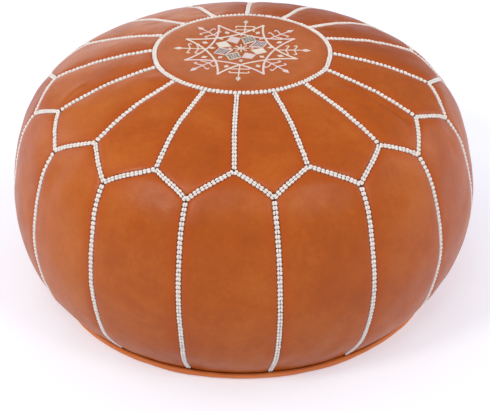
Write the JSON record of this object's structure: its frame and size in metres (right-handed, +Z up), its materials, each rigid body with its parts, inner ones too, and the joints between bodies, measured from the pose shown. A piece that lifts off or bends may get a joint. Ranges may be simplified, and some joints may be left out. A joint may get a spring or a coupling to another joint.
{
  "type": "moroccan leather pouf",
  "caption": "Round stuffed leather floor pouf with an embroidered top medallion, panelled top and sides joined by raised hand-stitched braids, and a zipped two-piece base.",
  "frame": {"origin": "middle of the base, on the floor", "axes": "+Z up; -Y is the front, where one top seam points and one side panel is centred; the zip runs along X and its slider rests at the +X end"},
  "size_m": [0.5352, 0.5352, 0.2886],
  "materials": {
    "crown_leather": "aniline-dyed goatskin, satin, cognac tan",
    "panel_leather": "aniline-dyed goatskin, satin, cognac tan with mottled colour",
    "base_leather": "thicker tan leather, satin, lighter and more orange than the panels",
    "braid_cotton": "waxed cotton yarn, off-white, stitched as a raised plait",
    "embroidery_silk": "satin thread, pale cream",
    "zip_tape": "woven tape, brown",
    "zip_coil": "nylon coil, brown",
    "zip_metal": "antique brass, lightly worn",
    "bag_calico": "unbleached cotton calico",
    "wadding": "cotton and polyester wadding, off-white"
  },
  "bodies": {
    "pouf": {"top_medallion": "crown_leather", "top_panel_01": "panel_leather", "top_panel_02": "panel_leather", "top_panel_03": "panel_leather", "top_panel_04": "panel_leather", "top_panel_05": "panel_leather", "top_panel_06": "panel_leather", "top_panel_07": "panel_leather", "top_panel_08": "panel_leather", "top_panel_09": "panel_leather", "top_panel_10": "panel_leather", "top_panel_11": "panel_leather", "top_panel_12": "panel_leather", "top_panel_13": "panel_leather", "top_panel_14": "panel_leather", "top_panel_15": "panel_leather", "top_panel_16": "panel_leather", "side_panel_01": "panel_leather", "side_panel_02": "panel_leather", "side_panel_03": "panel_leather", "side_panel_04": "panel_leather", "side_panel_05": "panel_leather", "side_panel_06": "panel_leather", "side_panel_07": "panel_leather", "side_panel_08": "panel_leather", "side_panel_09": "panel_leather", "side_panel_10": "panel_leather", "side_panel_11": "panel_leather", "side_panel_12": "panel_leather", "side_panel_13": "panel_leather", "side_panel_14": "panel_leather", "side_panel_15": "panel_leather", "side_panel_16": "panel_leather", "base_panel_front": "base_leather", "base_panel_back": "base_leather", "top_seam_braid": "braid_cotton", "side_seam_braid": "braid_cotton", "medallion_embroidery": "embroidery_silk", "zip_tape_front": "zip_tape", "zip_tape_back": "zip_tape", "zip_teeth_front": "zip_coil", "zip_teeth_back": "zip_coil", "zip_top_stop_front": "zip_metal", "zip_top_stop_back": "zip_metal", "zip_bottom_stop": "zip_metal", "filling_bag": "bag_calico", "filling": "wadding"},
    "slider": {"zip_slider": "zip_metal"},
    "pull": {"zip_pull": "zip_metal"}
  },
  "joints": [
    {"name": "zip_slide", "type": "slide", "parent": "pouf", "child": "slider", "axis": [-1, 0, 0], "range_m": [0, 0.32]},
    {"name": "zip_pull_swing", "type": "hinge", "parent": "slider", "child": "pull", "pos_m": [0.159, 0, 0.0015], "axis": [0, -1, 0], "range_deg": [0, 180]}
  ]
}
